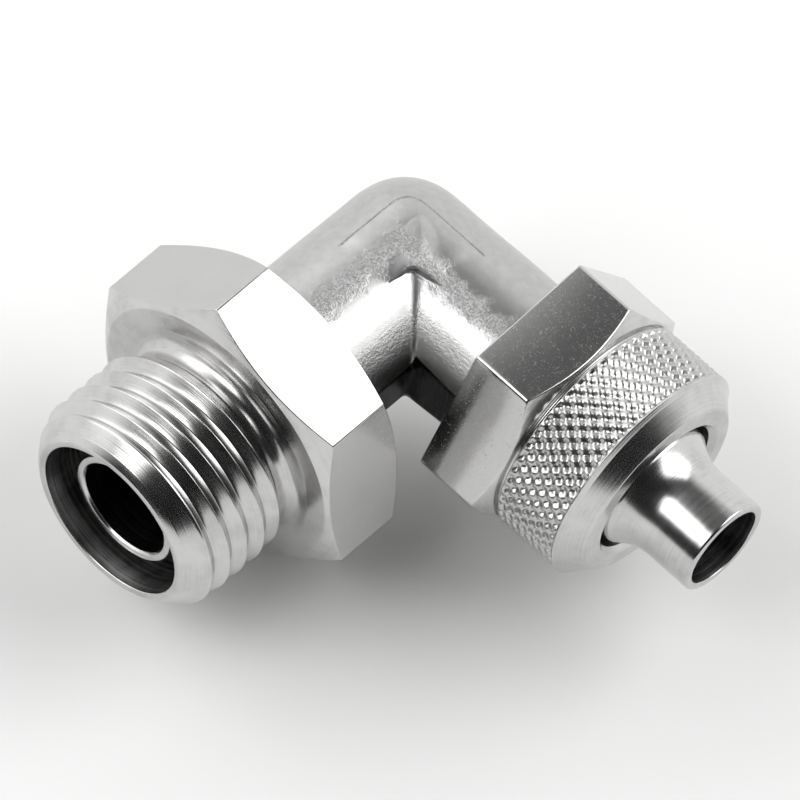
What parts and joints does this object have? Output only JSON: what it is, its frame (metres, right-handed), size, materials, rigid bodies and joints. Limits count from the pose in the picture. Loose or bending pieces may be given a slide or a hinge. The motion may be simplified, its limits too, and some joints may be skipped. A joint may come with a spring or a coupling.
{
  "type": "swivel elbow tube fitting",
  "caption": "Nickel-plated brass swivel elbow: male parallel thread with hex on one arm, push-on tube spigot with a hex and knurled clamp nut on the other.",
  "frame": {"origin": "centre of the adapter hex's seating face, on the axis of the male thread", "axes": "-Y out of the male thread, +X out of the tube spigot, +Z normal to the plane of the two axes"},
  "size_m": [0.0333, 0.0318, 0.0192],
  "materials": {
    "bright_nickel": "turned brass with bright nickel plating",
    "satin_nickel": "forged and blasted brass with nickel plating, satin with fine grain",
    "nut_nickel": "turned and knurled brass with nickel plating",
    "spring_steel": "hardened spring steel",
    "nbr": "matte black nitrile rubber"
  },
  "bodies": {
    "adapter": {"swivel_adapter": "bright_nickel", "stem_o_ring": "nbr"},
    "elbow": {"elbow_body": "satin_nickel", "swivel_stem": "bright_nickel", "retaining_ring": "spring_steel", "tube_spigot": "bright_nickel"},
    "nut": {"clamp_nut": "nut_nickel"}
  },
  "joints": [
    {"name": "elbow_swivel", "type": "hinge", "parent": "adapter", "child": "elbow", "pos_m": [0, 0, 0], "axis": [0, 1, 0], "continuous": true},
    {"name": "nut_turn", "type": "hinge", "parent": "elbow", "child": "nut", "pos_m": [0.0138, 0.0153, 0], "axis": [1, 0, 0], "range_deg": [0, 1890]}
  ]
}
